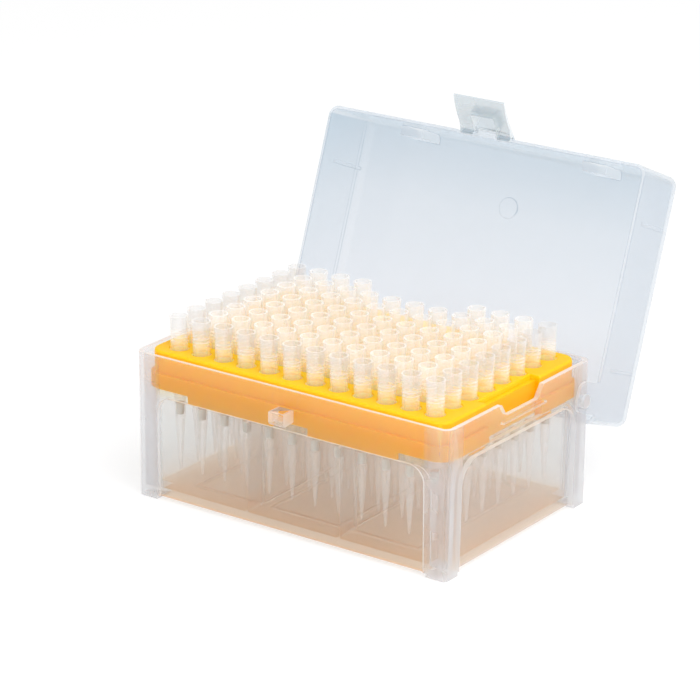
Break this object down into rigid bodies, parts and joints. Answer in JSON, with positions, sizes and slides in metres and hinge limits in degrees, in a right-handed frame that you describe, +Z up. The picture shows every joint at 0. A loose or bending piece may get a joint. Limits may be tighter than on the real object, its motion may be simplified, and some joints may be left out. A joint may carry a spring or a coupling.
{
  "type": "box of pipette tips",
  "caption": "Hinged lab box of filter pipette tips: a drafted tub on feet with a drop-in rack on the 9 mm grid, a telescoping lid on side ears and a swinging front latch.",
  "frame": {"origin": "on the ground, under the middle of the whole object as it stands with its lid open", "axes": "+Z up; +X along the twelve columns, left to right as seen from the latch side; +Y from the latch side to the hinge side"},
  "size_m": [0.1256, 0.1372, 0.12],
  "materials": {
    "tub_plastic": "satin, cloudy clear",
    "lid_plastic": "smooth, cloudy clear, faintly blue",
    "rack_plastic": "satin yellow",
    "tip_plastic": "smooth, milky",
    "filter_plastic": "porous white"
  },
  "bodies": {
    "tub": {"base": "tub_plastic", "rack": "rack_plastic", "tips_01": "tip_plastic", "tips_02": "tip_plastic", "tips_03": "tip_plastic", "tips_04": "tip_plastic", "tips_05": "tip_plastic", "tips_06": "tip_plastic", "tips_07": "tip_plastic", "tips_08": "tip_plastic", "tips_09": "tip_plastic", "tips_10": "tip_plastic", "tips_11": "tip_plastic", "tips_12": "tip_plastic", "filters_01": "filter_plastic", "filters_02": "filter_plastic", "filters_03": "filter_plastic", "filters_04": "filter_plastic", "filters_05": "filter_plastic", "filters_06": "filter_plastic", "filters_07": "filter_plastic", "filters_08": "filter_plastic", "filters_09": "filter_plastic", "filters_10": "filter_plastic", "filters_11": "filter_plastic", "filters_12": "filter_plastic"},
    "lid": {"lid": "lid_plastic"},
    "latch": {"latch": "lid_plastic"}
  },
  "joints": [
    {"name": "lid_hinge", "type": "hinge", "parent": "tub", "child": "lid", "pos_m": [0, 0.01243, 0.037], "axis": [1, 0, 0], "range_deg": [0, 110]},
    {"name": "latch_hinge", "type": "hinge", "parent": "lid", "child": "latch", "pos_m": [0, 0.04773, 0.10652], "axis": [1, 0, 0], "range_deg": [-72, 41.6]}
  ]
}
